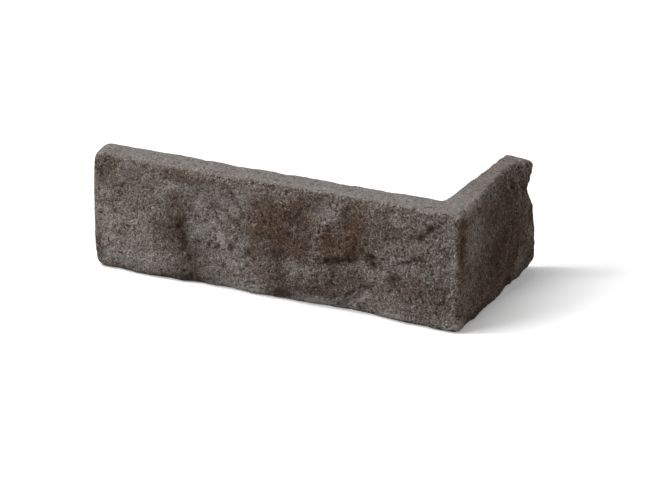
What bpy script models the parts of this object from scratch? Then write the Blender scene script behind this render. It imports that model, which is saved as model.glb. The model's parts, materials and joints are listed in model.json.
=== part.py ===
"""A cast concrete corner brick slip, standing on its bed as an L.

The slip is modelled as a straight bar, cut into an even grid, whose arrises are rounded and whose outer
face is dressed with hollows and ledges. The bar is then folded through 90 degrees at the quoin, which
mitres its two legs: a long stretcher face and a short header face.

Bar space: s runs along the outer face from the stretcher's free end, d is the depth inwards from the
face, and z is the height above the bed. Metres, +Z up, with the bounding box centred over the origin.
"""

import math
from collections import namedtuple

import bmesh
import bpy
from mathutils import Vector, noise

# Driving dimensions
STRETCHER_LENGTH = 0.215
HEADER_LENGTH = 0.1025
HEIGHT = 0.065
THICKNESS = 0.0170

# Arrises and corners
TOP_ARRIS_RADIUS = 0.0022
TOP_ARRIS_WEAR = 0.0030  # what the top arris gains in radius by the stretcher's free end
TOP_ARRIS_WEAR_REACH = 0.150
BED_ARRIS_RADIUS = 0.0034
BACK_ARRIS_RADIUS = 0.0010
END_RADIUS = 0.0055
END_FACE_RADIUS = 0.0030
QUOIN_RADIUS = 0.0026
INNER_FILLET_RADIUS = 0.0040
END_DRAFT = 0.0018  # how far the stretcher's free end slants back from its back edge to its face

# Grid
STATION_STEP = 0.0029
COURSE_STEP = 0.0029
DEPTH_STEP = 0.0042
ARC_CUTS = 3
CUT_TOLERANCE = 1e-7
SHARP_ANGLE_DEG = 40

# Waves and wear that run over the whole slip
WAVE_DEPTH = 0.0010
WAVE_LENGTH = 0.030
RIPPLE_DEPTH = 0.0007
RIPPLE_LENGTH = 0.011
WAVE_SETBACK = 0.6  # how far a wave's middle lies behind the envelope, as a share of its depth
ARRIS_WANDER = 0.35
END_FALL = 0.0012
END_FALL_REACH = 0.045
QUOIN_FADE = 0.003
LEDGE_WIDTH = 0.0028
TOP_UNEVENNESS = 0.0005
TOP_UNEVENNESS_REACH = 0.020
NOISE_SEED = Vector((3.7, 11.2, 5.9))

# A hollow is an ellipse dished into a face. Its centre is measured from the quoin and up from the bed,
# and its tilt turns it anticlockwise as seen from outside the face.
Hollow = namedtuple("Hollow", "from_quoin height half_width half_height tilt_deg depth")

# A ledge is a line along which the face steps down on its right-hand side, walking from its start to its
# end as seen from outside the face, and climbs back over its reach.
Ledge = namedtuple("Ledge", "start end drop reach")

STRETCHER_HOLLOWS = (
    Hollow(0.1650, 0.036, 0.0055, 0.009, 10, 0.0014),
    Hollow(0.1550, 0.013, 0.0070, 0.013, 8, 0.0014),
    Hollow(0.1080, 0.042, 0.0150, 0.011, -10, 0.0014),
    Hollow(0.0660, 0.043, 0.0140, 0.010, 0, 0.0014),
    Hollow(0.1020, 0.012, 0.0060, 0.012, 0, 0.0012),
    Hollow(0.1370, 0.001, 0.0200, 0.007, 0, 0.0032),
    Hollow(0.0940, 0.000, 0.0150, 0.006, 0, 0.0020),
    Hollow(0.0620, 0.000, 0.0270, 0.007, 0, 0.0032),
    Hollow(0.0495, 0.031, 0.0030, 0.003, 0, 0.0014),
    Hollow(0.0300, HEIGHT - 0.007, 0.0140, 0.005, 8, 0.0009),
)
STRETCHER_LEDGES = (
    Ledge((0.153, 0.002), (0.169, 0.052), 0.0022, 0.014),
    Ledge((0.083, 0.027), (0.054, 0.033), 0.0016, 0.012),
    Ledge((0.068, 0.003), (0.048, 0.020), 0.0020, 0.015),
    Ledge((0.040, 0.029), (0.023, 0.042), 0.0013, 0.010),
    Ledge((0.132, 0.056), (0.120, 0.040), 0.0012, 0.010),
    Ledge((0.150, 0.056), (0.126, 0.038), 0.0010, 0.009),
    Ledge((0.100, 0.043), (0.082, 0.059), 0.0014, 0.012),
    Ledge((0.030, 0.045), (0.006, 0.060), 0.0010, 0.009),
)
HEADER_HOLLOWS = (
    Hollow(0.0060, 0.046, 0.0036, 0.020, 0, 0.0016),
    Hollow(0.0530, 0.034, 0.0090, 0.009, 0, 0.0015),
    Hollow(0.0700, HEIGHT + 0.003, 0.0330, 0.012, 0, 0.0070),
    Hollow(0.0680, 0.018, 0.0120, 0.010, 20, 0.0013),
    Hollow(0.0850, 0.003, 0.0160, 0.007, 0, 0.0034),
)
HEADER_LEDGES = (Ledge((0.040, 0.012), (0.075, 0.006), 0.0012, 0.010),)

# A bite is taken out of the outline of a leg's free end. It has a height above the bed, a depth from the
# face, half sizes, and the length that it takes off. The header's end is broken, and the stretcher's worn.
Bite = namedtuple("Bite", "height depth half_height half_depth length")

STRETCHER_BITES = (
    Bite(HEIGHT, 0.000, 0.0120, 0.007, 0.0017),
    Bite(0.0000, 0.000, 0.0080, 0.010, 0.0012),
)
HEADER_BITES = (
    Bite(0.0500, 0.001, 0.0050, 0.012, 0.0118),
    Bite(0.0450, 0.004, 0.0080, 0.014, 0.0092),
    Bite(0.0320, 0.002, 0.0110, 0.012, 0.0036),
    Bite(0.0220, 0.013, 0.0090, 0.006, 0.0026),
    Bite(HEIGHT + 0.002, 0.000, 0.0060, 0.009, 0.0070),
    Bite(HEIGHT + 0.002, THICKNESS, 0.0060, 0.012, 0.0045),
    Bite(-0.0010, 0.002, 0.0086, 0.014, 0.0078),
)
HEADER_BREAK = 0.0026  # what the break takes off the header where it leaves it longest
END_RAGGEDNESS = 0.0018
END_RAGGED_LENGTH = 0.0075
END_REACH = 0.035

# The bar's size in bar space, and its six sides, each named by the axis across it and its lie along it
BAR = {"s": STRETCHER_LENGTH + HEADER_LENGTH, "d": THICKNESS, "z": HEIGHT}
Side = namedtuple("Side", "axis lie")
STRETCHER_END, HEADER_END = Side("s", "low"), Side("s", "high")
FACE, BACK = Side("d", "low"), Side("d", "high")
BED, TOP = Side("z", "low"), Side("z", "high")


def rounded(gap, radius):
    """Carries a point on a face, this gap from a sharp arris, onto an arc of this radius.

    Returns its new gap, along the face, and how far it sinks below the face."""
    if gap >= radius:
        return gap, 0.0
    angle = math.radians(45) * (1 - gap / radius)
    return radius * (1 - math.sin(angle)), radius * (1 - math.cos(angle))


def round_gaps(gap_a, gap_b, radius):
    """Carries a point near the arris of two faces, with a gap to each, onto arcs about one centre."""
    near, far = min(gap_a, gap_b), max(gap_a, gap_b)
    if far >= radius:
        return gap_a, gap_b
    along, sunk = rounded(far - near, radius - near)
    if gap_a <= gap_b:
        return near + sunk, near + along
    return near + along, near + sunk


def across(side, value):
    """Turns a coordinate on this side's axis into the gap to the side, or such a gap back into one."""
    return value if side.lie == "low" else BAR[side.axis] - value


def round_arris(point, side_a, side_b, radius):
    """Moves a point of the bar so that the arris between two of its sides is round."""
    gap_a, gap_b = across(side_a, point[side_a.axis]), across(side_b, point[side_b.axis])
    gap_a, gap_b = round_gaps(gap_a, gap_b, radius)
    point[side_a.axis] = across(side_a, gap_a)
    point[side_b.axis] = across(side_b, gap_b)


def smooth_step(share):
    """0 below 0, 1 above 1, and an even S between them."""
    share = min(max(share, 0.0), 1.0)
    return share * share * (3 - 2 * share)


def wave(place, length):
    """A smooth random wave of this length, mostly between -1 and 1, which is the same on every run."""
    return noise.noise(NOISE_SEED + Vector(place) / length)


def cuts_between(low, high, low_radius, high_radius, step):
    """Places of the grid's cuts from low to high: a few along each end's arc, and even steps between."""
    arc_low = [low + low_radius * k / ARC_CUTS for k in range(1, ARC_CUTS + 1)]
    arc_high = [high - high_radius * k / ARC_CUTS for k in range(ARC_CUTS, 0, -1)]
    span = arc_high[0] - arc_low[-1]
    count = max(1, round(span / step))
    return arc_low + [arc_low[-1] + span * k / count for k in range(1, count)] + arc_high


def gridded_bar():
    """A bar as long as both outer faces together, cut into a grid that is finer along its arrises."""
    quoin_zone = max(QUOIN_RADIUS, INNER_FILLET_RADIUS)
    stations = (
        cuts_between(0, STRETCHER_LENGTH, END_RADIUS, quoin_zone, STATION_STEP)
        + [STRETCHER_LENGTH]
        + cuts_between(STRETCHER_LENGTH, BAR["s"], quoin_zone, END_RADIUS, STATION_STEP)
    )
    depths = cuts_between(0, THICKNESS, TOP_ARRIS_RADIUS, BACK_ARRIS_RADIUS, DEPTH_STEP)
    courses = cuts_between(0, HEIGHT, BED_ARRIS_RADIUS, TOP_ARRIS_RADIUS, COURSE_STEP)

    bar = bmesh.new()
    bmesh.ops.create_cube(bar, size=1.0)
    for vert in bar.verts:
        vert.co = (vert.co + Vector((0.5, 0.5, 0.5))) * Vector(BAR.values())
    for axis, places in enumerate((stations, depths, courses)):
        normal = Vector((0, 0, 0))
        normal[axis] = 1
        for place in places:
            bmesh.ops.bisect_plane(
                bar,
                geom=bar.verts[:] + bar.edges[:] + bar.faces[:],
                plane_co=normal * place,
                plane_no=normal,
                dist=CUT_TOLERANCE,
            )
    return bar


def with_round_arrises(s, d, z):
    """Rounds the bar's long arrises, whose outer ones wander, and then the edges of its two ends."""
    top_radius = TOP_ARRIS_RADIUS * (1 + ARRIS_WANDER * wave((s, 0, HEIGHT), RIPPLE_LENGTH))
    top_radius += TOP_ARRIS_WEAR * smooth_step((STRETCHER_LENGTH - s) / TOP_ARRIS_WEAR_REACH)
    bed_radius = BED_ARRIS_RADIUS * (1 + ARRIS_WANDER * wave((s, 0, 0), RIPPLE_LENGTH))
    point = {"s": s, "d": d, "z": z}
    round_arris(point, FACE, TOP, top_radius)
    round_arris(point, BACK, TOP, BACK_ARRIS_RADIUS)
    round_arris(point, FACE, BED, bed_radius)
    round_arris(point, BACK, BED, BACK_ARRIS_RADIUS)
    for end in (STRETCHER_END, HEADER_END):
        round_arris(point, end, BED, END_RADIUS)
        round_arris(point, end, TOP, END_RADIUS)
        round_arris(point, end, FACE, END_FACE_RADIUS)
        round_arris(point, end, BACK, BACK_ARRIS_RADIUS)
    return point.values()


def hollow_depth(hollow, right, z, hand):
    """Depth of one hollow at a point of its face, right and up being as seen from outside."""
    tilt = math.radians(hollow.tilt_deg)
    over, up = right - hand * hollow.from_quoin, z - hollow.height
    u = (over * math.cos(tilt) + up * math.sin(tilt)) / hollow.half_width
    v = (up * math.cos(tilt) - over * math.sin(tilt)) / hollow.half_height
    return hollow.depth * math.exp(-(u * u + v * v))


def ledge_depth(ledge, right, z, hand):
    """Depth of one ledge at a point of its face: nothing behind its line, and most just past it."""
    start = Vector((hand * ledge.start[0], ledge.start[1]))
    run = Vector((hand * ledge.end[0], ledge.end[1])) - start
    offset = Vector((right, z)) - start
    share = offset.dot(run) / run.length_squared
    past = (offset.x * run.y - offset.y * run.x) / run.length
    if past <= 0 or not 0 < share < 1:
        return 0.0
    depth = ledge.drop * math.sin(math.pi * share)
    return depth * smooth_step(past / LEDGE_WIDTH) * math.exp(-past / ledge.reach)


def face_depth(s, z):
    """How far the dressed outer face lies behind its flat envelope."""
    if s < STRETCHER_LENGTH:
        from_quoin, hand = STRETCHER_LENGTH - s, -1
        hollows, ledges = STRETCHER_HOLLOWS, STRETCHER_LEDGES
        place = (-from_quoin, 0, z)
    else:
        from_quoin, hand = s - STRETCHER_LENGTH, 1
        hollows, ledges = HEADER_HOLLOWS, HEADER_LEDGES
        place = (0, from_quoin, z)
    right = hand * from_quoin
    worked = sum(hollow_depth(hollow, right, z, hand) for hollow in hollows)
    worked += sum(ledge_depth(ledge, right, z, hand) for ledge in ledges)
    waves = WAVE_DEPTH * (WAVE_SETBACK + wave(place, WAVE_LENGTH))
    waves += RIPPLE_DEPTH * (WAVE_SETBACK + wave(place, RIPPLE_LENGTH))
    fall = END_FALL * smooth_step(1 - s / END_FALL_REACH)
    return max(0.0, waves) + fall + worked * smooth_step(from_quoin / QUOIN_FADE)


def end_loss(bites, d, z):
    """Length lost from a free end at this depth and height, to its largest bite there."""
    loss = 0.0
    for bite in bites:
        u, v = (z - bite.height) / bite.half_height, (d - bite.depth) / bite.half_depth
        loss = max(loss, bite.length * math.exp(-(u * u + v * v)))
    return loss


def break_loss(d, z):
    """Length lost from the header's end to the break: its bites, and its grain."""
    grain = END_RAGGEDNESS * max(0.0, WAVE_SETBACK + wave((d, z, 0), END_RAGGED_LENGTH))
    return HEADER_BREAK + end_loss(HEADER_BITES, d, z) + grain


def top_loss(s, d, z):
    """How far the uneven top lies below its envelope, fading out down the slip."""
    uneven = max(0.0, WAVE_SETBACK + wave((s, d, 0), RIPPLE_LENGTH))
    return TOP_UNEVENNESS * uneven * smooth_step(1 - (HEIGHT - z) / TOP_UNEVENNESS_REACH)


def folded(s, d, z, depth_share):
    """Folds the bar at the quoin. Returns the point with the quoin's foot at the origin: the stretcher
    runs along -X and the header along +Y."""
    on_stretcher = s <= STRETCHER_LENGTH
    leg = STRETCHER_LENGTH if on_stretcher else HEADER_LENGTH
    gap = abs(s - STRETCHER_LENGTH)
    outer_gap, sunk = rounded(gap, QUOIN_RADIUS * (1 - depth_share))
    inner_gap, risen = rounded(gap, INNER_FILLET_RADIUS * depth_share)
    mitred = d + gap * (leg - d) / leg
    along = mitred + (outer_gap - gap) + (inner_gap - gap)
    depth = d + sunk + risen
    return Vector((-along, depth, z)) if on_stretcher else Vector((-depth, along, z))


def shaped(point):
    """Carries a point of the plain bar to its place on the finished slip."""
    s, d, z = with_round_arrises(*point)
    depth_share = min(max(d / THICKNESS, 0.0), 1.0)
    d += face_depth(s, z) * (1 - depth_share)
    set_back = END_DRAFT * (1 - depth_share) + end_loss(STRETCHER_BITES, d, z)
    worn = set_back * max(0.0, 1 - s / END_REACH)
    broken = break_loss(d, z) * max(0.0, 1 - (BAR["s"] - s) / END_REACH)
    s += worn - broken
    z -= top_loss(s, d, z)
    return folded(s, d, z, depth_share)


def concrete():
    """Warm grey concrete, dry and matt."""
    material = bpy.data.materials.new("cast_concrete")
    material.use_nodes = True
    shader = material.node_tree.nodes["Principled BSDF"]
    shader.inputs["Base Color"].default_value = (0.145, 0.122, 0.108, 1.0)
    shader.inputs["Roughness"].default_value = 0.95
    shader.inputs["Metallic"].default_value = 0.0
    return material


def build_slip():
    """The whole slip, one cast piece."""
    bar = gridded_bar()
    for vert in bar.verts:
        vert.co = shaped(vert.co)
    bmesh.ops.recalc_face_normals(bar, faces=bar.faces)
    mesh = bpy.data.meshes.new("corner_brick_slip")
    bar.to_mesh(mesh)
    bar.free()
    mesh.shade_smooth()
    mesh.set_sharp_from_angle(angle=math.radians(SHARP_ANGLE_DEG))
    mesh.materials.append(concrete())

    low = Vector(min(vert.co[axis] for vert in mesh.vertices) for axis in range(3))
    high = Vector(max(vert.co[axis] for vert in mesh.vertices) for axis in range(3))
    slip = bpy.data.objects.new("corner_brick_slip", mesh)
    slip.location = Vector((-(low.x + high.x) / 2, -(low.y + high.y) / 2, -low.z))
    bpy.context.scene.collection.objects.link(slip)
    return slip


for startup_object in list(bpy.data.objects):
    bpy.data.objects.remove(startup_object)
build_slip()
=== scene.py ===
"""Looks of the concrete corner brick slip: sandy cast skin, pigmented concrete, light and camera.

The skin is a fine even mesh made from the CAD solid, with relief that never leaves the solid's box.
Places on the two outer faces are given as the distance from the quoin and the height above the bed.
Metres, +Z up.
"""

import json
import math
from collections import namedtuple

import bpy
import numpy as np
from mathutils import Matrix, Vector, noise


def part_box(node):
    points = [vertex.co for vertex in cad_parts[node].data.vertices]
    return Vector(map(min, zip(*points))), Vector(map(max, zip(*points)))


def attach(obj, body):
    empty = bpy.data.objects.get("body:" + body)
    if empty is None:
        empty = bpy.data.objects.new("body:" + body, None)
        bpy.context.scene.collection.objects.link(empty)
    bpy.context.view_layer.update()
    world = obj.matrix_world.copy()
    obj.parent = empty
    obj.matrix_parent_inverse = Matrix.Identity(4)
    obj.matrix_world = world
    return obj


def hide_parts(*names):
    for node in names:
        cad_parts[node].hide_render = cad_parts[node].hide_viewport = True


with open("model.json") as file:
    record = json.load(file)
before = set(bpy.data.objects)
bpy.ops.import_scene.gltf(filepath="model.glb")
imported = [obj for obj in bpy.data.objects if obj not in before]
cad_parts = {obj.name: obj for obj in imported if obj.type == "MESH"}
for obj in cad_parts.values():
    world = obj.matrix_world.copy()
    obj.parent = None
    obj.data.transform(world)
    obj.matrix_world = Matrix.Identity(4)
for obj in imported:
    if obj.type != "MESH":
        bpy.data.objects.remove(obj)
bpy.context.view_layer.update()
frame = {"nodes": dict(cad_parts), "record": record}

# The slip's own sizes, read from the frame
NODE = "corner_brick_slip"
LOW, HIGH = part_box(NODE)
MOUNTS = {mount["name"]: mount["pos_m"] for mount in frame["record"]["mounts"]}
THICKNESS = MOUNTS["stretcher_back"][1] - LOW.y

# Skin, an even mesh over the solid whose facets are eased away
SKIN_STEP = 0.00076
SKIN_EASE = 0.5
SKIN_EASE_ROUNDS = 2
WELD_GAP = 1e-5

# Which part of the skin belongs to which side. Each pair says where a side begins and where it is
# whole. Turns are cosines between the skin's normal and the way that the side looks.
FACE_TURN = (0.25, 0.75)
TOP_TURN = (0.45, 0.88)
BREAK_TURN = (0.3, 0.7)
UNDERSIDE_TURN = (0.40, 0.85)
FACE_REACH = (THICKNESS * 0.7, THICKNESS * 0.4)  # behind the nearer outer face
BACK_REACH = (THICKNESS * 0.75, THICKNESS)  # the same
FOOT_REACH = (0.004, 0.002)  # the same
BREAK_REACH = (0.020, 0.010)  # from the header's broken end
FAR_REACH = (0.105, 0.145)  # the stretcher face's far part, from the quoin
HEADER_TOP_REACH = (THICKNESS, THICKNESS * 3)  # the header's top, from the stretcher face

# Relief, as depths below and heights above the skin
GRAIN_SIZE = 0.0021
GRAIN_DEPTH = 0.00030
COARSE_GRAIN_SIZE = 0.0050
COARSE_GRAIN_DEPTH = 0.00039
PORE_SIZE = 0.0032
PORE_DEPTH = 0.0007
PORE_SPAN = (0.36, 0.66)  # noise at which a pore opens and is at its deepest
KNOB_SIZE = 0.0065
KNOB_DEPTH = 0.0007  # on the header's broken end

# What the grain and pores of the outer faces are multiplied by on the other sides
TOP_RELIEF = 0.45
BACK_RELIEF = 0.30
BREAK_RELIEF = 1.20

# How far, and over what length, the outlines of ellipses and creases wander
DRIFT = 0.0024
DRIFT_SIZE = 0.0075

# Shifts that keep one noise from repeating another
SHIFTS = {
    "drift_along": 2.3,
    "drift_up": 6.1,
    "grain": 11.3,
    "coarse_grain": 5.1,
    "pores": 7.7,
    "knobs": 3.9,
    "mottle": 9.2,
    "back_mottle": 4.4,
}

# A pit is a small round hole in a face.
Pit = namedtuple("Pit", "from_quoin height radius depth")

# A crease is a thin sharp step along a line, falling on its right-hand side as seen from outside.
Crease = namedtuple("Crease", "start end drop width reach")

# A lump stands out of the header's broken end, or is missing from it where its rise is below zero.
Lump = namedtuple("Lump", "height from_face radius rise")

# A chip is a place where the header face's bottom edge has worn back and up.
Chip = namedtuple("Chip", "from_quoin radius depth")

# An ellipse where the concrete's pigment is made stronger, or weaker below zero; on the outer faces
# some are real stains and some are painted shade and painted highlight. With a tilt above zero it
# rises to the right, as seen from outside.
StainAndShade = namedtuple("StainAndShade", "from_quoin height half_width half_height tilt_deg strength")
STAIN_AND_SHADE_EDGE = 1.5  # how sharply an ellipse ends: 1 is softest

STRETCHER_PITS = (
    Pit(0.1500, 0.0240, 0.0013, 0.0010),
    Pit(0.1385, 0.0240, 0.0014, 0.0016),
    Pit(0.1400, 0.0280, 0.0011, 0.0010),
    Pit(0.1310, 0.0240, 0.0014, 0.0014),
    Pit(0.1205, 0.0230, 0.0015, 0.0012),
    Pit(0.1170, 0.0210, 0.0012, 0.0008),
    Pit(0.0980, 0.0600, 0.0011, 0.0008),
    Pit(0.0500, 0.0330, 0.0020, 0.0014),
    Pit(0.0490, 0.0295, 0.0018, 0.0014),
    Pit(0.0365, 0.0235, 0.0016, 0.0010),
    Pit(0.0270, 0.0480, 0.0015, 0.0010),
    Pit(0.0220, 0.0480, 0.0014, 0.0014),
    Pit(0.0170, 0.0540, 0.0020, 0.0015),
)
STRETCHER_CREASES = (
    Crease((0.0920, 0.0255), (0.0690, 0.0262), 0.0009, 0.0008, 0.004),
    Crease((0.0780, 0.0245), (0.0550, 0.0340), 0.0014, 0.0010, 0.004),
    Crease((0.0690, 0.0040), (0.0490, 0.0200), 0.0015, 0.0008, 0.005),
    Crease((0.0400, 0.0285), (0.0230, 0.0400), 0.0012, 0.0008, 0.003),
    Crease((0.1340, 0.0610), (0.1210, 0.0400), 0.0017, 0.0008, 0.004),
    Crease((0.1450, 0.0520), (0.1210, 0.0330), 0.0013, 0.0009, 0.004),
    Crease((0.0990, 0.0440), (0.0850, 0.0570), 0.0005, 0.0008, 0.005),
    Crease((0.0310, 0.0450), (0.0060, 0.0600), 0.0006, 0.0009, 0.003),
)

HEADER_LUMPS = (
    Lump(0.0610, 0.0030, 0.0030, 0.0008),
    Lump(0.0370, 0.0020, 0.0040, -0.0012),
    Lump(0.0260, 0.0020, 0.0040, 0.0010),
    Lump(0.0085, 0.0020, 0.0036, 0.0011),
)

HEADER_CHIPS = (
    Chip(0.0660, 0.0080, 0.0018),
    Chip(0.0895, 0.0035, 0.0017),
)
CHIP_HEIGHT = 0.0050  # how far up the face a chip fades away

# How much pigment each side is given, from 0, pale, to 1, nearly black
FACE_PIGMENT = 0.25
TOP_PIGMENT = 0.185
HEADER_TOP_PIGMENT = 0.275
# The header face's value is partly its own darker concrete and partly painted shade, as that face
# lies away from the lamps
HEADER_PIGMENT_AND_SHADE = 0.36
BACK_PIGMENT = 0.22
BREAK_PIGMENT = 0.34
HEADER_MOTTLE = 0.16  # how far mottles move the pigment either way
MOTTLE_SIZE = 0.0045
BACK_MOTTLE = 0.10
BACK_MOTTLE_SIZE = 0.018
PAINTED_HOLLOW_SHADE = 100  # painted shade in hollows, and paler where the relief stands out: what depth adds, a metre
PAINTED_PIT_SHADE = 150  # painted shade in pits: what a pit's depth adds to that, a metre
PAINTED_FOOT_SHADE = 0.60  # painted shade: what the underside of the outer faces' bottom edge adds

# How brown the concrete is by itself on each side, from 0, grey, to 1
FACE_BROWN = 0.12
HEADER_BROWN = 0.66
BACK_BROWN = 0.10
BREAK_BROWN = 0.40

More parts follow.
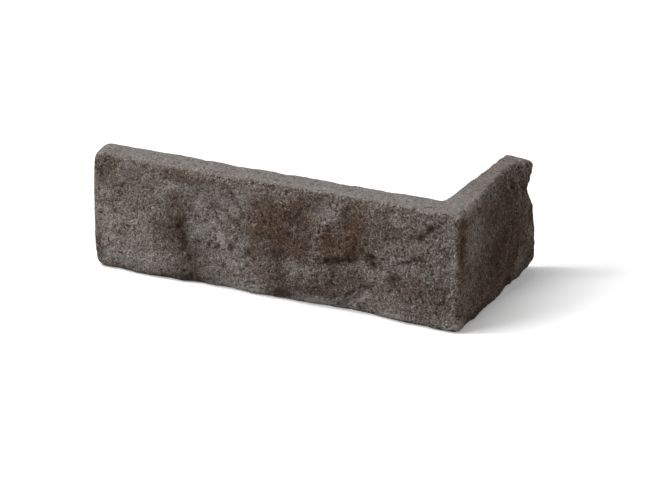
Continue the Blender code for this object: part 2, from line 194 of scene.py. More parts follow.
STRETCHER_STAINS_AND_SHADE = (
    # Towards the free end
    StainAndShade(0.1900, 0.0630, 0.0250, 0.0022, 0, 0.12),
    StainAndShade(0.2050, 0.0560, 0.0080, 0.0080, 0, 0.16),
    StainAndShade(0.1960, 0.0530, 0.0030, 0.0040, 0, -0.12),
    StainAndShade(0.2055, 0.0430, 0.0040, 0.0040, 0, -0.14),
    StainAndShade(0.1840, 0.0430, 0.0090, 0.0080, 0, 0.06),
    StainAndShade(0.1930, 0.0290, 0.0030, 0.0060, 0, -0.08),
    StainAndShade(0.2050, 0.0200, 0.0030, 0.0120, 0, -0.16),
    StainAndShade(0.1950, 0.0190, 0.0200, 0.0190, 0, -0.10),
    StainAndShade(0.2100, 0.0110, 0.0030, 0.0080, 0, 0.22),
    StainAndShade(0.2110, 0.0090, 0.0026, 0.0050, 0, 0.12),
    StainAndShade(0.1920, 0.0028, 0.0120, 0.0022, 0, 0.12),
    # The upright valley: partly its own stains, partly painted shade on its left wall and painted
    # light on its right wall
    StainAndShade(0.1470, 0.0600, 0.0070, 0.0035, 0, 0.10),
    StainAndShade(0.1600, 0.0590, 0.0120, 0.0040, -10, 0.22),
    StainAndShade(0.1650, 0.0510, 0.0040, 0.0045, 0, -0.18),
    StainAndShade(0.1720, 0.0480, 0.0040, 0.0050, 0, -0.12),
    StainAndShade(0.1625, 0.0450, 0.0060, 0.0050, 0, 0.25),
    StainAndShade(0.1480, 0.0450, 0.0050, 0.0050, 0, -0.14),
    StainAndShade(0.1570, 0.0380, 0.0025, 0.0060, 0, 0.12),
    StainAndShade(0.1620, 0.0355, 0.0050, 0.0060, 0, 0.22),
    StainAndShade(0.1450, 0.0330, 0.0090, 0.0120, 0, -0.10),
    StainAndShade(0.1650, 0.0320, 0.0030, 0.0030, 0, -0.16),
    StainAndShade(0.1600, 0.0300, 0.0045, 0.0070, 20, 0.28),
    StainAndShade(0.1680, 0.0260, 0.0090, 0.0080, 0, 0.24),
    StainAndShade(0.1540, 0.0260, 0.0060, 0.0030, 0, -0.10),
    StainAndShade(0.1480, 0.0180, 0.0060, 0.0090, 0, 0.14),
    StainAndShade(0.1560, 0.0155, 0.0055, 0.0110, 10, 0.24),
    StainAndShade(0.1730, 0.0090, 0.0080, 0.0060, 0, -0.16),
    StainAndShade(0.1570, 0.0080, 0.0050, 0.0025, 0, -0.14),
    StainAndShade(0.1590, 0.0060, 0.0080, 0.0050, 0, 0.20),
    StainAndShade(0.1600, 0.0032, 0.0130, 0.0026, 0, 0.34),
    # The slope beside it, with painted shade and painted highlight as thin dark and pale lines
    # along its creases and ridge, and a paler bottom edge as painted light
    StainAndShade(0.1230, 0.0560, 0.0080, 0.0060, 0, -0.08),
    StainAndShade(0.1350, 0.0530, 0.0130, 0.0050, 0, -0.12),
    StainAndShade(0.1285, 0.0530, 0.0100, 0.0013, -55, 0.32),
    StainAndShade(0.1265, 0.0515, 0.0090, 0.0014, -55, -0.16),
    StainAndShade(0.1300, 0.0455, 0.0080, 0.0020, -52, -0.20),
    StainAndShade(0.1355, 0.0440, 0.0035, 0.0045, 0, -0.16),
    StainAndShade(0.1310, 0.0420, 0.0110, 0.0013, -35, 0.24),
    StainAndShade(0.1335, 0.0415, 0.0045, 0.0035, -35, -0.22),
    StainAndShade(0.1300, 0.0395, 0.0050, 0.0040, 0, 0.08),
    StainAndShade(0.1230, 0.0350, 0.0060, 0.0040, 0, 0.06),
    StainAndShade(0.1370, 0.0280, 0.0025, 0.0050, 20, -0.14),
    StainAndShade(0.1360, 0.0280, 0.0060, 0.0014, -62, -0.20),
    StainAndShade(0.1180, 0.0230, 0.0060, 0.0050, 0, 0.16),
    StainAndShade(0.1290, 0.0180, 0.0090, 0.0100, 0, -0.08),
    StainAndShade(0.1370, 0.0050, 0.0050, 0.0030, 0, -0.14),
    StainAndShade(0.1220, 0.0036, 0.0130, 0.0038, 0, -0.26),
    # The farther brown patch
    StainAndShade(0.0950, 0.0635, 0.0450, 0.0025, 0, 0.20),
    StainAndShade(0.1130, 0.0560, 0.0030, 0.0060, 0, -0.14),
    StainAndShade(0.0910, 0.0550, 0.0060, 0.0035, 0, 0.22),
    StainAndShade(0.1050, 0.0530, 0.0080, 0.0040, 0, 0.14),
    StainAndShade(0.0980, 0.0525, 0.0035, 0.0030, 0, -0.16),
    StainAndShade(0.0960, 0.0500, 0.0060, 0.0050, 20, 0.30),
    StainAndShade(0.0885, 0.0455, 0.0065, 0.0033, 5, 0.22),
    StainAndShade(0.1120, 0.0440, 0.0080, 0.0090, 0, 0.24),
    StainAndShade(0.1050, 0.0420, 0.0022, 0.0050, 0, -0.10),
    StainAndShade(0.1020, 0.0410, 0.0070, 0.0080, 0, 0.26),
    StainAndShade(0.0890, 0.0375, 0.0050, 0.0090, 0, 0.25),
    StainAndShade(0.1010, 0.0350, 0.0070, 0.0060, 0, 0.26),
    StainAndShade(0.0920, 0.0340, 0.0080, 0.0030, 0, 0.12),
    StainAndShade(0.1130, 0.0335, 0.0080, 0.0050, 0, 0.30),
    StainAndShade(0.0910, 0.0285, 0.0080, 0.0040, 0, 0.26),
    StainAndShade(0.1050, 0.0260, 0.0090, 0.0040, 0, 0.32),
    StainAndShade(0.1020, 0.0250, 0.0035, 0.0040, 0, 0.16),
    StainAndShade(0.0900, 0.0200, 0.0060, 0.0025, 0, -0.08),
    StainAndShade(0.0890, 0.0180, 0.0040, 0.0030, 0, 0.14),
    StainAndShade(0.1080, 0.0130, 0.0090, 0.0030, 0, 0.10),
    StainAndShade(0.1020, 0.0120, 0.0050, 0.0100, 0, 0.24),
    StainAndShade(0.0880, 0.0110, 0.0080, 0.0050, 0, 0.19),
    StainAndShade(0.0950, 0.0075, 0.0060, 0.0025, 0, 0.16),
    StainAndShade(0.1020, 0.0036, 0.0080, 0.0028, 0, 0.46),
    # The nearer brown patch, with painted shade and painted highlight as a thin dark line and a
    # pale facet along its lowest crease, and a paler bottom edge as painted light
    StainAndShade(0.0800, 0.0580, 0.0070, 0.0035, 0, 0.28),
    StainAndShade(0.0610, 0.0560, 0.0050, 0.0060, 0, 0.22),
    StainAndShade(0.0750, 0.0535, 0.0060, 0.0055, -20, -0.16),
    StainAndShade(0.0710, 0.0520, 0.0070, 0.0022, 35, -0.12),
    StainAndShade(0.0665, 0.0515, 0.0025, 0.0050, -20, 0.12),
    StainAndShade(0.0550, 0.0500, 0.0030, 0.0060, 0, 0.14),
    StainAndShade(0.0600, 0.0490, 0.0070, 0.0030, 0, 0.12),
    StainAndShade(0.0790, 0.0430, 0.0080, 0.0020, 50, -0.14),
    StainAndShade(0.0650, 0.0425, 0.0030, 0.0030, 0, -0.16),
    StainAndShade(0.0620, 0.0400, 0.0070, 0.0100, 0, 0.36),
    StainAndShade(0.0500, 0.0400, 0.0060, 0.0040, -25, 0.10),
    StainAndShade(0.0830, 0.0380, 0.0040, 0.0030, 0, -0.10),
    StainAndShade(0.0770, 0.0380, 0.0080, 0.0070, 0, 0.32),
    StainAndShade(0.0570, 0.0370, 0.0050, 0.0040, 0, 0.18),
    StainAndShade(0.0725, 0.0360, 0.0022, 0.0050, 0, 0.18),
    StainAndShade(0.0635, 0.0312, 0.0070, 0.0032, 28, 0.30),
    StainAndShade(0.0500, 0.0310, 0.0050, 0.0040, 0, 0.30),
    StainAndShade(0.0725, 0.0272, 0.0105, 0.0034, 6, 0.34),
    StainAndShade(0.0810, 0.0260, 0.0030, 0.0025, 0, -0.12),
    StainAndShade(0.0755, 0.0240, 0.0028, 0.0035, 0, 0.16),
    StainAndShade(0.0700, 0.0200, 0.0110, 0.0035, 10, 0.16),
    StainAndShade(0.0625, 0.0185, 0.0080, 0.0050, 25, 0.24),
    StainAndShade(0.0520, 0.0185, 0.0050, 0.0012, 25, 0.26),
    StainAndShade(0.0545, 0.0180, 0.0035, 0.0045, 0, 0.14),
    StainAndShade(0.0740, 0.0130, 0.0080, 0.0050, 0, 0.22),
    StainAndShade(0.0610, 0.0130, 0.0060, 0.0013, 30, 0.34),
    StainAndShade(0.0570, 0.0105, 0.0120, 0.0034, 40, -0.46),
    StainAndShade(0.0840, 0.0085, 0.0120, 0.0020, 0, 0.12),
    StainAndShade(0.0720, 0.0085, 0.0060, 0.0022, 10, 0.12),
    StainAndShade(0.0820, 0.0026, 0.0090, 0.0028, 0, -0.34),
    # Towards the quoin, with a pale line down the quoin's rounded edge that is partly wear and
    # partly painted highlight, a thin dark and pale pair along a crease as painted shade and
    # highlight, and a paler bottom edge as painted light
    StainAndShade(0.0360, 0.0570, 0.0040, 0.0035, 0, -0.12),
    StainAndShade(0.0400, 0.0560, 0.0040, 0.0040, 0, 0.16),
    StainAndShade(0.0280, 0.0560, 0.0060, 0.0040, 0, 0.14),
    StainAndShade(0.0180, 0.0530, 0.0110, 0.0022, 32, 0.24),
    StainAndShade(0.0240, 0.0500, 0.0025, 0.0022, 0, -0.10),
    StainAndShade(0.0370, 0.0480, 0.0080, 0.0060, 0, 0.18),
    StainAndShade(0.0180, 0.0475, 0.0060, 0.0030, 20, 0.09),
    StainAndShade(0.0490, 0.0470, 0.0080, 0.0110, 0, 0.16),
    StainAndShade(0.0480, 0.0440, 0.0080, 0.0060, 0, -0.06),
    StainAndShade(0.0160, 0.0420, 0.0080, 0.0060, 0, 0.08),
    StainAndShade(0.0080, 0.0420, 0.0025, 0.0050, 0, 0.08),
    StainAndShade(0.0020, 0.0400, 0.0022, 0.0140, 0, -0.26),
    StainAndShade(0.0090, 0.0380, 0.0040, 0.0040, 0, 0.14),
    StainAndShade(0.0320, 0.0350, 0.0060, 0.0030, 38, -0.22),
    StainAndShade(0.0215, 0.0350, 0.0040, 0.0040, 0, 0.18),
    StainAndShade(0.0140, 0.0350, 0.0030, 0.0050, 0, -0.06),
    StainAndShade(0.0300, 0.0345, 0.0065, 0.0012, 25, 0.30),
    StainAndShade(0.0370, 0.0330, 0.0040, 0.0030, 0, -0.12),
    StainAndShade(0.0300, 0.0322, 0.0060, 0.0012, 25, -0.12),
    StainAndShade(0.0430, 0.0310, 0.0025, 0.0030, 0, 0.14),
    StainAndShade(0.0080, 0.0280, 0.0030, 0.0050, 0, 0.08),
    StainAndShade(0.0420, 0.0250, 0.0025, 0.0040, 0, -0.12),
    StainAndShade(0.0370, 0.0230, 0.0040, 0.0040, 0, 0.34),
    StainAndShade(0.0240, 0.0200, 0.0070, 0.0070, 0, 0.20),
    StainAndShade(0.0320, 0.0190, 0.0040, 0.0060, 0, 0.14),
    StainAndShade(0.0120, 0.0180, 0.0080, 0.0080, 0, 0.20),
    StainAndShade(0.0490, 0.0170, 0.0070, 0.0040, 0, 0.14),
    StainAndShade(0.0190, 0.0130, 0.0050, 0.0030, 0, 0.12),
    StainAndShade(0.0180, 0.0080, 0.0040, 0.0020, 0, 0.10),
    StainAndShade(0.0190, 0.0045, 0.0060, 0.0026, 0, 0.12),
    StainAndShade(0.0390, 0.0026, 0.0110, 0.0028, 0, -0.34),
    StainAndShade(0.0030, 0.0022, 0.0090, 0.0028, 0, -0.34),
)
HEADER_STAINS_AND_SHADE = (
    # Towards the broken end
    StainAndShade(0.0885, 0.0603, 0.0030, 0.0030, 0, -0.26),
    StainAndShade(0.0800, 0.0560, 0.0030, 0.0030, 0, -0.14),
    StainAndShade(0.0748, 0.0548, 0.0032, 0.0040, 0, 0.22),
    StainAndShade(0.0840, 0.0520, 0.0034, 0.0045, 0, 0.26),
    StainAndShade(0.0750, 0.0480, 0.0035, 0.0040, 0, -0.20),
    StainAndShade(0.0750, 0.0400, 0.0060, 0.0050, 0, 0.12),
    StainAndShade(0.0720, 0.0280, 0.0060, 0.0070, 0, 0.14),
    StainAndShade(0.0896, 0.0254, 0.0030, 0.0045, 0, -0.20),
    StainAndShade(0.0730, 0.0185, 0.0050, 0.0030, 25, 0.12),
    StainAndShade(0.0790, 0.0150, 0.0050, 0.0040, 0, -0.16),
    StainAndShade(0.0780, 0.0115, 0.0070, 0.0045, -20, -0.36),
    StainAndShade(0.0850, 0.0055, 0.0050, 0.0032, 0, -0.20),
    # The middle
    StainAndShade(0.0500, 0.0580, 0.0045, 0.0045, 0, -0.22),
    StainAndShade(0.0622, 0.0565, 0.0038, 0.0055, 0, 0.12),
    StainAndShade(0.0500, 0.0560, 0.0060, 0.0050, 0, 0.12),
    StainAndShade(0.0680, 0.0545, 0.0033, 0.0032, 0, -0.12),
    StainAndShade(0.0690, 0.0540, 0.0100, 0.0060, 0, 0.24),
    StainAndShade(0.0490, 0.0500, 0.0100, 0.0070, 0, 0.22),
    StainAndShade(0.0640, 0.0480, 0.0060, 0.0040, 0, 0.14),
    StainAndShade(0.0650, 0.0360, 0.0120, 0.0100, 0, 0.28),
    StainAndShade(0.0550, 0.0335, 0.0034, 0.0036, 0, -0.38),
    StainAndShade(0.0520, 0.0330, 0.0080, 0.0070, 0, 0.24),
    StainAndShade(0.0400, 0.0300, 0.0035, 0.0035, 0, -0.18),
    StainAndShade(0.0450, 0.0270, 0.0100, 0.0070, 0, 0.30),
    StainAndShade(0.0610, 0.0250, 0.0036, 0.0038, 0, 0.20),
    StainAndShade(0.0668, 0.0205, 0.0030, 0.0030, 0, -0.16),
    StainAndShade(0.0500, 0.0190, 0.0110, 0.0110, 0, 0.14),
    StainAndShade(0.0600, 0.0170, 0.0160, 0.0080, 0, 0.14),
    StainAndShade(0.0690, 0.0160, 0.0060, 0.0042, 20, 0.25),
    StainAndShade(0.0532, 0.0094, 0.0045, 0.0025, 0, -0.12),
    StainAndShade(0.0650, 0.0050, 0.0060, 0.0034, 0, 0.24),
    # Towards the quoin, with a pale line down the quoin's rounded edge to its foot that is partly
    # wear and partly painted highlight, and painted shade in the hollow just beside it
    StainAndShade(0.0150, 0.0640, 0.0230, 0.0034, 0, -0.54),
    StainAndShade(0.0050, 0.0620, 0.0050, 0.0030, 0, -0.24),
    StainAndShade(0.0216, 0.0612, 0.0070, 0.0030, 0, -0.14),
    StainAndShade(0.0110, 0.0570, 0.0080, 0.0030, 0, 0.20),
    StainAndShade(0.0005, 0.0550, 0.0022, 0.0080, 0, -0.42),
    StainAndShade(0.0322, 0.0538, 0.0035, 0.0032, 0, 0.20),
    StainAndShade(0.0260, 0.0520, 0.0040, 0.0040, 0, -0.28),
    StainAndShade(0.0190, 0.0470, 0.0110, 0.0140, 0, -0.26),
    StainAndShade(0.0074, 0.0470, 0.0031, 0.0160, 0, 0.38),
    StainAndShade(0.0108, 0.0400, 0.0032, 0.0055, 0, 0.14),
    StainAndShade(0.0180, 0.0370, 0.0080, 0.0050, 0, -0.14),
    StainAndShade(0.0005, 0.0360, 0.0022, 0.0070, 0, -0.66),
    StainAndShade(0.0035, 0.0350, 0.0020, 0.0070, 0, -0.14),
    StainAndShade(0.0280, 0.0280, 0.0070, 0.0060, 0, 0.10),
    StainAndShade(0.0210, 0.0240, 0.0060, 0.0040, 0, -0.16),
    StainAndShade(0.0110, 0.0190, 0.0040, 0.0040, 0, -0.16),
    StainAndShade(0.0090, 0.0180, 0.0070, 0.0120, 0, -0.12),
    StainAndShade(0.0005, 0.0180, 0.0022, 0.0060, 0, -0.16),
    StainAndShade(0.0360, 0.0150, 0.0130, 0.0070, 0, 0.14),
    StainAndShade(0.0310, 0.0100, 0.0060, 0.0030, 0, -0.16),
    StainAndShade(0.0132, 0.0090, 0.0030, 0.0030, 0, -0.10),
    StainAndShade(0.0000, 0.0090, 0.0024, 0.0030, 0, 0.24),
    StainAndShade(0.0320, 0.0055, 0.0080, 0.0025, 0, 0.17),
    StainAndShade(0.0030, 0.0045, 0.0060, 0.0035, 0, -0.72),
    StainAndShade(0.0320, 0.0035, 0.0200, 0.0024, 0, 0.24),
)

# Browner patches, in the same way
STRETCHER_BROWNS = (
    # Towards the free end
    StainAndShade(0.2050, 0.0540, 0.0100, 0.0120, 0, 0.16),
    StainAndShade(0.1950, 0.0080, 0.0160, 0.0060, 0, -0.16),
    # The upright valley
    StainAndShade(0.1640, 0.0600, 0.0080, 0.0050, 0, 0.16),
    StainAndShade(0.1620, 0.0360, 0.0060, 0.0120, 0, 0.30),
    StainAndShade(0.1490, 0.0280, 0.0120, 0.0140, 0, -0.14),
    StainAndShade(0.1640, 0.0270, 0.0060, 0.0040, 0, -0.14),
    # The slope beside it
    StainAndShade(0.1170, 0.0330, 0.0090, 0.0040, 0, -0.24),
    StainAndShade(0.1300, 0.0220, 0.0090, 0.0060, 0, -0.12),
    # The farther brown patch
    StainAndShade(0.0930, 0.0520, 0.0080, 0.0060, 0, 0.26),
    StainAndShade(0.0860, 0.0450, 0.0050, 0.0050, 0, 0.30),
    StainAndShade(0.1100, 0.0400, 0.0140, 0.0150, 0, 0.46),
    StainAndShade(0.0980, 0.0400, 0.0050, 0.0050, 0, -0.16),
    StainAndShade(0.0930, 0.0320, 0.0060, 0.0070, 0, 0.32),
    StainAndShade(0.1090, 0.0120, 0.0090, 0.0040, 0, 0.16),
    # The nearer brown patch
    StainAndShade(0.0600, 0.0450, 0.0070, 0.0160, 0, 0.50),
    StainAndShade(0.0740, 0.0370, 0.0080, 0.0080, 0, 0.46),
    StainAndShade(0.0680, 0.0320, 0.0110, 0.0035, 15, 0.24),
    StainAndShade(0.0800, 0.0290, 0.0100, 0.0030, -6, 0.18),
    StainAndShade(0.0740, 0.0180, 0.0100, 0.0070, 0, 0.18),
    # Towards the quoin
    StainAndShade(0.0100, 0.0350, 0.0090, 0.0250, 0, -0.10),
    StainAndShade(0.0300, 0.0220, 0.0130, 0.0060, 0, 0.14),
    StainAndShade(0.0120, 0.0160, 0.0070, 0.0080, 0, 0.08),
)
HEADER_BROWNS = (
    # Towards the broken end
    StainAndShade(0.0780, 0.0590, 0.0120, 0.0080, 0, -0.36),
    StainAndShade(0.0842, 0.0506, 0.0030, 0.0050, 0, 0.26),
    StainAndShade(0.0780, 0.0450, 0.0060, 0.0050, 0, -0.20),
    StainAndShade(0.0860, 0.0440, 0.0040, 0.0150, 0, -0.30),
    StainAndShade(0.0860, 0.0230, 0.0050, 0.0080, 0, -0.20),
    StainAndShade(0.0800, 0.0100, 0.0070, 0.0045, 0, -0.34),
    # The middle
    StainAndShade(0.0400, 0.0640, 0.0500, 0.0045, 0, -0.36),
    StainAndShade(0.0520, 0.0590, 0.0080, 0.0045, 0, -0.24),
    StainAndShade(0.0600, 0.0440, 0.0180, 0.0050, 0, -0.14),
    StainAndShade(0.0565, 0.0400, 0.0080, 0.0040, 0, -0.16),
    StainAndShade(0.0690, 0.0300, 0.0140, 0.0130, 0, 0.48),
    StainAndShade(0.0530, 0.0280, 0.0060, 0.0050, 0, 0.60),
    StainAndShade(0.0480, 0.0270, 0.0090, 0.0070, 0, 0.20),
    StainAndShade(0.0450, 0.0180, 0.0100, 0.0070, 0, 0.12),
    StainAndShade(0.0560, 0.0120, 0.0100, 0.0040, 0, 0.24),
    StainAndShade(0.0628, 0.0080, 0.0080, 0.0040, 0, 0.50),
    # Towards the quoin
    StainAndShade(0.0250, 0.0550, 0.0070, 0.0050, 0, -0.16),
    StainAndShade(0.0200, 0.0450, 0.0100, 0.0130, 0, -0.34),
    StainAndShade(0.0080, 0.0420, 0.0030, 0.0160, 0, 0.20),
    StainAndShade(0.0005, 0.0400, 0.0040, 0.0160, 0, -0.20),
    StainAndShade(0.0045, 0.0320, 0.0040, 0.0050, 0, -0.24),
    StainAndShade(0.0130, 0.0170, 0.0100, 0.0080, 0, -0.14),
    StainAndShade(0.0340, 0.0140, 0.0070, 0.0060, 0, 0.14),
    StainAndShade(0.0020, 0.0100, 0.0060, 0.0120, 0, -0.30),
    StainAndShade(0.0330, 0.0045, 0.0100, 0.0025, 0, 0.26),
)

# Concrete's linear colours, from the palest grain to the darkest pigment
PIGMENT_COLOURS = (
    (-0.30, (0.470, 0.445, 0.425)),
    (0.00, (0.340, 0.315, 0.295)),
    (0.25, (0.190, 0.166, 0.151)),
    (0.50, (0.096, 0.073, 0.058)),
    (0.75, (0.046, 0.031, 0.023)),
    (1.00, (0.018, 0.012, 0.009)),
)
WHITE = (1.0, 1.0, 1.0)
BROWN_TINT = (1.30, 0.95, 0.69)  # what full brownness multiplies a colour by

# The material's noises, from 0 to 1: size, detail, roughness and shift
Noise = namedtuple("Noise", "size detail roughness shift")
GRAIN_NOISE = Noise(0.0009, 2, 0.7, 0.0)
SPECK_NOISE = Noise(0.0019, 2, 0.6, 0.4)
PALE_NOISE = Noise(0.0019, 2, 0.6, 0.9)
PATCH_NOISE = Noise(0.014, 3, 0.6, 0.7)
POROUS_NOISE = Noise(0.011, 2, 0.5, 0.2)
MIDDLE = 0.5  # a noise's mean

# How far each noise moves the pigment, and over which values of the noise
GRAIN_CONTRAST = 1.80
SPECK_CONTRAST = 0.44
SPECK_SPAN = (0.45, 0.32)
PALE_CONTRAST = 0.30
PALE_SPAN = (0.56, 0.70)
PATCH_CONTRAST = 0.09
POROUS_SPAN = (0.40, 0.60)
POROUS_RANGE = (0.6, 1.3)  # what specks are multiplied by in the densest and most porous areas

# What grain and specks are multiplied by on each side, next to the stretcher face's near part
FAR_CONTRAST = 0.86
TOP_CONTRAST = 0.60
HEADER_CONTRAST = 1.42
BACK_CONTRAST = 0.65

# Surface
BUMP_HEIGHT = 0.0009
ROUGHNESS_SPAN = (0.3, 0.7)  # of the grain
ROUGHNESS_RANGE = (0.86, 0.98)
SPECULAR = 0.25

# Light, as the level at which it lights a white surface that faces it
KEY_LEVEL = 0.60
KEY_COUNT = 12  # lamps that the long key is made of
KEY_FROM_CAMERA_DEG = -90
KEY_CAST = 0.86  # longest shadow that the key casts, as a share of the height that casts it
KEY_ANGLE_DEG = 3.5
FILL_LEVEL = 0.54
FILL_AZIMUTH_DEG = -45
FILL_ELEVATION_DEG = 30
FILL_ANGLE_DEG = 30
SKY_LEVEL = 0.20
FLOOR_BOUNCE = 0.28  # the floor's colour where it only throws light back
FLOOR_COLOUR = 1.0  # and where it is seen
FLOOR_LIFT = 0.228  # what is added to the floor as it is seen, which keeps its shadow pale
FLOOR_SIZE = 12.0

# Camera, fitted to the photograph's outline, whose frame is 667 x 500 pixels
CAMERA_AZIMUTH_DEG = 26.441
CAMERA_ELEVATION_DEG = 21.451
CAMERA_DISTANCE = 2.1019
CAMERA_TARGET = Vector((0.012016, 0.0, 0.012607))
FRAME_WIDTH_PX = 667
FOCAL_PX = 4000
SENSOR_WIDTH_MM = 36


def smooth_step(low, high, value):
    """0 below low, 1 above high, and an even S between them. It falls where low is the larger."""
    share = np.clip((value - low) / (high - low), 0, 1)
    return share * share * (3 - 2 * share)


def wave(points, length, name):
    """Smooth noise of this length at each point, mostly from -1 to 1, the same on every run."""
    shift = SHIFTS[name]
    shift = Vector((shift, 2 * shift, 3 * shift))
    return np.array([noise.noise(Vector(point) / length + shift) for point in points])


def ellipse(stain_and_shade, from_quoin, height, hand):
    """Strength of one ellipse at each place on its face. hand is -1 on a face left of the quoin."""
    tilt = math.radians(stain_and_shade.tilt_deg)
    over = hand * (from_quoin - stain_and_shade.from_quoin)
    up = height - stain_and_shade.height
    u = (over * math.cos(tilt) + up * math.sin(tilt)) / stain_and_shade.half_width
    v = (up * math.cos(tilt) - over * math.sin(tilt)) / stain_and_shade.half_height
    return stain_and_shade.strength * np.exp(-((u * u + v * v) ** STAIN_AND_SHADE_EDGE))


def crease_depth(crease, from_quoin, height, hand):
    """Depth of one crease at each place on its face."""
    start = np.array((hand * crease.start[0], crease.start[1]))
    run = np.array((hand * crease.end[0], crease.end[1])) - start
    length = np.linalg.norm(run)
    over, up = hand * from_quoin - start[0], height - start[1]
    share = (over * run[0] + up * run[1]) / length**2
    past = (over * run[1] - up * run[0]) / length
    along = np.sin(math.pi * np.clip(share, 0, 1))
    across = smooth_step(0, crease.width, past) * np.exp(-np.maximum(past, 0) / crease.reach)
    return crease.drop * along * across


def skin_of(node):
    """A fine even skin over the CAD solid, with its facets eased away, as a new object."""
    source = bpy.data.objects.new("skin_source", node.data.copy())
    bpy.context.scene.collection.objects.link(source)
    weld = source.modifiers.new("weld", "WELD")
    weld.merge_threshold = WELD_GAP
    remesh = source.modifiers.new("even_skin", "REMESH")
    remesh.mode = "VOXEL"
    remesh.voxel_size = SKIN_STEP
    ease = source.modifiers.new("ease", "SMOOTH")
    ease.factor = SKIN_EASE
    ease.iterations = SKIN_EASE_ROUNDS
    depsgraph = bpy.context.evaluated_depsgraph_get()
    mesh = bpy.data.meshes.new_from_object(source.evaluated_get(depsgraph))
    bpy.data.objects.remove(source)
    mesh.materials.clear()
    skin = bpy.data.objects.new("slip_concrete", mesh)
    bpy.context.scene.collection.objects.link(skin)
    return skin


def read_points(mesh):
    """The mesh's points and their normals, as two arrays of rows."""
    points = np.zeros(len(mesh.vertices) * 3, np.float32)
    normals = np.zeros(len(mesh.vertices) * 3, np.float32)
    mesh.vertices.foreach_get("co", points)
    mesh.vertices.foreach_get("normal", normals)
    return points.reshape(-1, 3).astype(float), normals.reshape(-1, 3).astype(float)


class Places:
    """Where each point of the skin lies on the slip, and what share of it belongs to each side."""

    def __init__(self, points, normals):
        x, y, z = points.T
        self.points = points
        self.height = z - LOW.z
        self.along_stretcher = HIGH.x - x
        self.along_header = y - LOW.y
        depth = np.minimum(self.along_stretcher, self.along_header)
        outer = smooth_step(*FACE_REACH, depth)
        self.stretcher = smooth_step(*FACE_TURN, -normals[:, 1]) * outer
        self.header = smooth_step(*FACE_TURN, normals[:, 0]) * outer
        self.face = np.clip(self.stretcher + self.header, 0, 1)
        self.top = smooth_step(*TOP_TURN, normals[:, 2])
        self.back = smooth_step(*BACK_REACH, depth) * (1 - self.top)
        self.near_break = smooth_step(*BREAK_REACH, HIGH.y - y)
        self.broken = self.near_break * smooth_step(*BREAK_TURN, normals[:, 1])
        self.drift_along = DRIFT * wave(points, DRIFT_SIZE, "drift_along")
        self.drift_up = DRIFT * wave(points, DRIFT_SIZE, "drift_up")
        # The underside band along the bottom edge, made here, carries painted shade
        underside = smooth_step(*UNDERSIDE_TURN, -normals[:, 2]) * (1 - self.near_break)
        self.foot = underside * smooth_step(*FOOT_REACH, depth)


def pitted(places):
    """Depth of the stretcher face's pits at each point."""
    depth = np.zeros(len(places.points))
    for pit in STRETCHER_PITS:
        away = np.hypot(places.along_stretcher - pit.from_quoin, places.height - pit.height)
        depth = np.maximum(depth, pit.depth * np.exp(-((away / pit.radius) ** 2)))
    return depth * places.stretcher


def creased(places):
    """Depth of the stretcher face's creases at each point."""
    along = places.along_stretcher + places.drift_along
    height = places.height + places.drift_up
    depth = sum(crease_depth(crease, along, height, -1) for crease in STRETCHER_CREASES)
    return depth * places.stretcher


def lumped(places):
    """Height of the lumps on the header's broken end at each point."""
    rise = np.zeros(len(places.points))
    for lump in HEADER_LUMPS:
        away = np.hypot(places.height - lump.height, places.along_stretcher - lump.from_face)
        rise += lump.rise * np.exp(-((away / lump.radius) ** 2))
    return rise * places.near_break


def chipped(places):
    """Depth of the chips along the header face's bottom edge at each point."""
    depth = np.zeros(len(places.points))
    for chip in HEADER_CHIPS:
        away = (places.along_header - chip.from_quoin) / chip.radius
        depth += chip.depth * np.exp(-(away**2))
    outer = smooth_step(*FACE_REACH, places.along_stretcher)
    return depth * np.exp(-((places.height / CHIP_HEIGHT) ** 2)) * outer


def relief(places):
    """Depth of the whole relief below the skin at each point, or height above it below zero."""
    share = places.face + TOP_RELIEF * places.top + BACK_RELIEF * places.back
    share = np.clip(share, BACK_RELIEF, 1)
    share += (BREAK_RELIEF - share) * places.broken
    grain = GRAIN_DEPTH * wave(places.points, GRAIN_SIZE, "grain")
    coarse = COARSE_GRAIN_DEPTH * wave(places.points, COARSE_GRAIN_SIZE, "coarse_grain")
    pores = smooth_step(*PORE_SPAN, wave(places.points, PORE_SIZE, "pores"))
    pores *= PORE_DEPTH * places.face
    knobs = KNOB_DEPTH * wave(places.points, KNOB_SIZE, "knobs") * places.near_break
    carved = pitted(places) + creased(places) + chipped(places) - lumped(places)
    return (grain + coarse + pores) * share + knobs + carved


def set_attribute(mesh, name, values):
    """Stores one number a point for the material to read."""
    attribute = mesh.attributes.new(name, "FLOAT", "POINT")
    attribute.data.foreach_set("value", values.astype(np.float32))


def stained_and_shaded(places, stretcher_stains_and_shade, header_stains_and_shade):
    """What the ellipses of both faces add at each point, real stains with some painted shade and
    painted highlight among them.
    """
    height = places.height + places.drift_up
    along = places.along_stretcher + places.drift_along
    on_stretcher = sum(ellipse(stain_and_shade, along, height, -1) for stain_and_shade in stretcher_stains_and_shade)
    along = places.along_header + places.drift_along
    on_header = sum(ellipse(stain_and_shade, along, height, 1) for stain_and_shade in header_stains_and_shade)
    return on_stretcher * places.stretcher + on_header * places.header


def by_side(places, face, header, back):
    """A value for each point, from those of the stretcher face, the header face and the backs."""
    return face + (header - face) * places.header + (back - face) * places.back


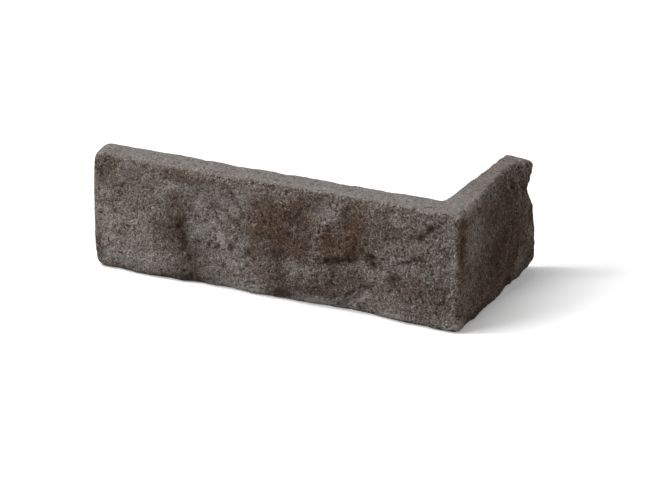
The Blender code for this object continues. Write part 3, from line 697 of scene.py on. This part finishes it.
def pigment_and_shade(places, depth):
    """How dark the concrete is made at each point: its pigmenting, with painted shade and painted
    highlight added in.
    """
    amount = by_side(places, FACE_PIGMENT, HEADER_PIGMENT_AND_SHADE, BACK_PIGMENT)
    # Stains, with painted shade and painted highlight among them along creases, the valley, the
    # quoin and the bottom edge
    amount += stained_and_shaded(places, STRETCHER_STAINS_AND_SHADE, HEADER_STAINS_AND_SHADE)
    # Painted shade: hollows and pits darker by their depth, lumps paler, and the bottom edge's
    # underside darker
    amount += PAINTED_HOLLOW_SHADE * depth + PAINTED_PIT_SHADE * pitted(places) + PAINTED_FOOT_SHADE * places.foot
    amount += (BREAK_PIGMENT - amount) * places.broken
    mottle = HEADER_MOTTLE * wave(places.points, MOTTLE_SIZE, "mottle")
    amount += mottle * np.maximum(places.header, places.broken)
    amount += BACK_MOTTLE * wave(places.points, BACK_MOTTLE_SIZE, "back_mottle") * places.back
    on_header = smooth_step(*HEADER_TOP_REACH, places.along_header)
    top = TOP_PIGMENT + (HEADER_TOP_PIGMENT - TOP_PIGMENT) * on_header
    return amount + (top - amount) * places.top


def brownness(places):
    """How brown the concrete is at each point."""
    amount = by_side(places, FACE_BROWN, HEADER_BROWN, BACK_BROWN)
    amount += stained_and_shaded(places, STRETCHER_BROWNS, HEADER_BROWNS)
    amount += (BREAK_BROWN - amount) * places.broken
    return np.clip(amount * (1 - places.top), 0, 1)


def texture_contrast(places):
    """What the material's grain and specks are multiplied by at each point."""
    far = smooth_step(*FAR_REACH, places.along_stretcher)
    face = 1 + (FAR_CONTRAST - 1) * far
    contrast = by_side(places, face, HEADER_CONTRAST, BACK_CONTRAST)
    return contrast + (TOP_CONTRAST - contrast) * places.top


def cast_skin():
    """The slip's visible surface, with its relief and its pigment."""
    skin = skin_of(frame["nodes"][NODE])
    points, normals = read_points(skin.data)
    places = Places(points, normals)
    depth = relief(places)
    points = np.clip(points - normals * depth[:, None], LOW, HIGH)
    skin.data.vertices.foreach_set("co", points.astype(np.float32).ravel())
    skin.data.update()
    skin.data.shade_smooth()
    set_attribute(skin.data, "pigment_and_shade", pigment_and_shade(places, depth))
    set_attribute(skin.data, "brownness", brownness(places))
    set_attribute(skin.data, "contrast", texture_contrast(places))
    return skin


class Nodes:
    """Short ways to add and link the nodes of one material."""

    def __init__(self, material):
        material.use_nodes = True
        self.tree = material.node_tree
        self.tree.nodes.clear()

    def add(self, kind, **settings):
        node = self.tree.nodes.new(kind)
        for name, value in settings.items():
            setattr(node, name, value)
        return node

    def link(self, source, target):
        self.tree.links.new(source, target)

    def put(self, socket, value):
        """Links a socket to another's output, or sets it to a plain value."""
        if isinstance(value, bpy.types.NodeSocket):
            self.link(value, socket)
        else:
            socket.default_value = value

    def attribute(self, name):
        return self.add("ShaderNodeAttribute", attribute_name=name).outputs["Fac"]

    def noise(self, kind):
        """One of the material's noises, over the object's own coordinates."""
        place = self.add("ShaderNodeTexCoord").outputs["Object"]
        shifted = self.add("ShaderNodeVectorMath", operation="ADD")
        self.link(place, shifted.inputs[0])
        shifted.inputs[1].default_value = [kind.shift] * 3
        texture = self.add("ShaderNodeTexNoise")
        self.link(shifted.outputs[0], texture.inputs["Vector"])
        texture.inputs["Scale"].default_value = 1 / kind.size
        texture.inputs["Detail"].default_value = kind.detail
        texture.inputs["Roughness"].default_value = kind.roughness
        return texture.outputs["Fac"]

    def ramp(self, value, low, high, to_low=0.0, to_high=1.0):
        """Maps low..high evenly onto to_low..to_high, and holds it there."""
        node = self.add("ShaderNodeMapRange", clamp=True)
        self.put(node.inputs["Value"], value)
        node.inputs["From Min"].default_value = low
        node.inputs["From Max"].default_value = high
        node.inputs["To Min"].default_value = to_low
        node.inputs["To Max"].default_value = to_high
        return node.outputs["Result"]

    def math(self, operation, a, b):
        node = self.add("ShaderNodeMath", operation=operation)
        self.put(node.inputs[0], a)
        self.put(node.inputs[1], b)
        return node.outputs[0]

    def mix(self, share, a, b, blend="MIX"):
        """Mixes two colours."""
        node = self.add("ShaderNodeMix", data_type="RGBA", blend_type=blend)
        self.put(node.inputs[0], share)
        self.put(node.inputs[6], a)
        self.put(node.inputs[7], b)
        return node.outputs[2]


def rgba(colour):
    """A linear colour as the four numbers that a colour socket takes."""
    return (*colour, 1.0)


def pigment_and_shade_ramp(nodes, amount):
    """The colour of concrete at this darkness, from its own colouring and from painted shade."""
    palest, darkest = PIGMENT_COLOURS[0][0], PIGMENT_COLOURS[-1][0]
    ramp = nodes.add("ShaderNodeValToRGB")
    nodes.link(nodes.ramp(amount, palest, darkest), ramp.inputs["Fac"])
    stops = ramp.color_ramp.elements
    while len(stops) < len(PIGMENT_COLOURS):
        stops.new(1.0)
    for stop, (place, colour) in zip(stops, PIGMENT_COLOURS):
        stop.position = (place - palest) / (darkest - palest)
        stop.color = rgba(colour)
    return ramp.outputs["Color"]


def concrete():
    """Warm grey concrete: sandy, speckled dark and pale, and brown where its colouring pooled; its
    darkness also carries painted shade and painted highlight.
    """
    material = bpy.data.materials.new("cast_concrete")
    nodes = Nodes(material)
    fine = nodes.noise(GRAIN_NOISE)
    specks = nodes.noise(SPECK_NOISE)
    pale = nodes.noise(PALE_NOISE)
    patches = nodes.noise(PATCH_NOISE)

    grain = nodes.math("MULTIPLY", nodes.math("SUBTRACT", MIDDLE, fine), GRAIN_CONTRAST)
    porous = nodes.ramp(nodes.noise(POROUS_NOISE), *POROUS_SPAN, *POROUS_RANGE)
    dark_specks = nodes.ramp(specks, *SPECK_SPAN, 0.0, SPECK_CONTRAST)
    dark_specks = nodes.math("MULTIPLY", dark_specks, porous)
    pale_specks = nodes.ramp(pale, *PALE_SPAN, 0.0, -PALE_CONTRAST)
    texture = nodes.math("ADD", grain, nodes.math("ADD", dark_specks, pale_specks))
    texture = nodes.math("MULTIPLY", texture, nodes.attribute("contrast"))
    patch = nodes.math("MULTIPLY", nodes.math("SUBTRACT", patches, MIDDLE), PATCH_CONTRAST)
    amount = nodes.math("ADD", nodes.attribute("pigment_and_shade"), nodes.math("ADD", texture, patch))
    tint = nodes.mix(nodes.attribute("brownness"), rgba(WHITE), rgba(BROWN_TINT))
    colour = nodes.mix(1.0, pigment_and_shade_ramp(nodes, amount), tint, blend="MULTIPLY")

    bump = nodes.add("ShaderNodeBump")
    bump.inputs["Strength"].default_value = 1.0
    bump.inputs["Distance"].default_value = BUMP_HEIGHT
    nodes.link(nodes.math("ADD", fine, specks), bump.inputs["Height"])

    shader = nodes.add("ShaderNodeBsdfPrincipled")
    nodes.link(colour, shader.inputs["Base Color"])
    roughness = nodes.ramp(fine, *ROUGHNESS_SPAN, *ROUGHNESS_RANGE)
    nodes.link(roughness, shader.inputs["Roughness"])
    shader.inputs["Specular IOR Level"].default_value = SPECULAR
    nodes.link(bump.outputs["Normal"], shader.inputs["Normal"])
    output = nodes.add("ShaderNodeOutputMaterial")
    nodes.link(shader.outputs[0], output.inputs["Surface"])
    return material


def seen_directly(nodes):
    """1 on rays that show a surface to the camera, straight or in a gloss or glass, or else 0."""
    path = nodes.add("ShaderNodeLightPath")
    seen = nodes.math("MAXIMUM", path.outputs["Is Camera Ray"], path.outputs["Is Glossy Ray"])
    return nodes.math("MAXIMUM", seen, path.outputs["Is Transmission Ray"])


def studio_floor():
    """A white floor, which takes the slip's shadow and throws back only part of the light."""
    bpy.ops.mesh.primitive_plane_add(size=FLOOR_SIZE, location=(0, 0, LOW.z))
    floor = bpy.context.object
    floor.name = "studio_floor"
    material = bpy.data.materials.new("white_floor")
    nodes = Nodes(material)
    colour = nodes.mix(seen_directly(nodes), rgba([FLOOR_BOUNCE] * 3), rgba([FLOOR_COLOUR] * 3))
    diffuse = nodes.add("ShaderNodeBsdfDiffuse")
    nodes.link(colour, diffuse.inputs["Color"])
    lift = nodes.add("ShaderNodeEmission")
    nodes.link(nodes.math("MULTIPLY", seen_directly(nodes), FLOOR_LIFT), lift.inputs["Strength"])
    both = nodes.add("ShaderNodeAddShader")
    nodes.link(diffuse.outputs[0], both.inputs[0])
    nodes.link(lift.outputs[0], both.inputs[1])
    output = nodes.add("ShaderNodeOutputMaterial")
    nodes.link(both.outputs[0], output.inputs["Surface"])
    floor.data.materials.append(material)


def studio_sky():
    """A world that looks white and lights evenly from all round."""
    world = bpy.data.worlds.new("studio")
    bpy.context.scene.world = world
    nodes = Nodes(world)
    level = nodes.mix(seen_directly(nodes), rgba([SKY_LEVEL] * 3), rgba(WHITE))
    background = nodes.add("ShaderNodeBackground")
    nodes.link(level, background.inputs["Color"])
    output = nodes.add("ShaderNodeOutputWorld")
    nodes.link(background.outputs[0], output.inputs["Surface"])


def direction(azimuth_deg, elevation_deg):
    """Unit vector towards a place round the slip. Azimuth 0 is in front of the stretcher face."""
    azimuth, elevation = math.radians(azimuth_deg), math.radians(elevation_deg)
    level = math.cos(elevation)
    return Vector((math.sin(azimuth) * level, -math.cos(azimuth) * level, math.sin(elevation)))


def add_sun(name, towards, level, angle_deg):
    """A far lamp in this direction, which lights a facing white surface to this level."""
    lamp = bpy.data.lights.new(name, "SUN")
    lamp.energy = math.pi * level
    lamp.angle = math.radians(angle_deg)
    sun = bpy.data.objects.new(name, lamp)
    sun.rotation_euler = towards.to_track_quat("Z", "Y").to_euler()
    bpy.context.scene.collection.objects.link(sun)


def studio_lamps():
    """A long key softbox from overhead down to the left, and a soft fill from the left front."""
    for k in range(KEY_COUNT):
        cast = KEY_CAST * (k + 0.5) / KEY_COUNT
        elevation_deg = math.degrees(math.atan2(1, cast))
        towards = direction(CAMERA_AZIMUTH_DEG + KEY_FROM_CAMERA_DEG, elevation_deg)
        add_sun(f"key_{k}", towards, KEY_LEVEL / KEY_COUNT, KEY_ANGLE_DEG)
    towards = direction(FILL_AZIMUTH_DEG, FILL_ELEVATION_DEG)
    add_sun("fill", towards, FILL_LEVEL, FILL_ANGLE_DEG)


def add_camera():
    """The photograph's view."""
    data = bpy.data.cameras.new("camera")
    data.sensor_width = SENSOR_WIDTH_MM
    data.lens = FOCAL_PX * SENSOR_WIDTH_MM / FRAME_WIDTH_PX
    data.clip_end = FLOOR_SIZE * 2
    camera = bpy.data.objects.new("camera", data)
    back = direction(CAMERA_AZIMUTH_DEG, CAMERA_ELEVATION_DEG)
    camera.location = CAMERA_TARGET + back * CAMERA_DISTANCE
    camera.rotation_euler = back.to_track_quat("Z", "Y").to_euler()
    bpy.context.scene.collection.objects.link(camera)
    bpy.context.scene.camera = camera


slip = cast_skin()
slip.data.materials.append(concrete())
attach(slip, "root")
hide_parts(NODE)
studio_floor()
studio_sky()
studio_lamps()
add_camera()
bpy.context.scene.view_settings.view_transform = "Standard"
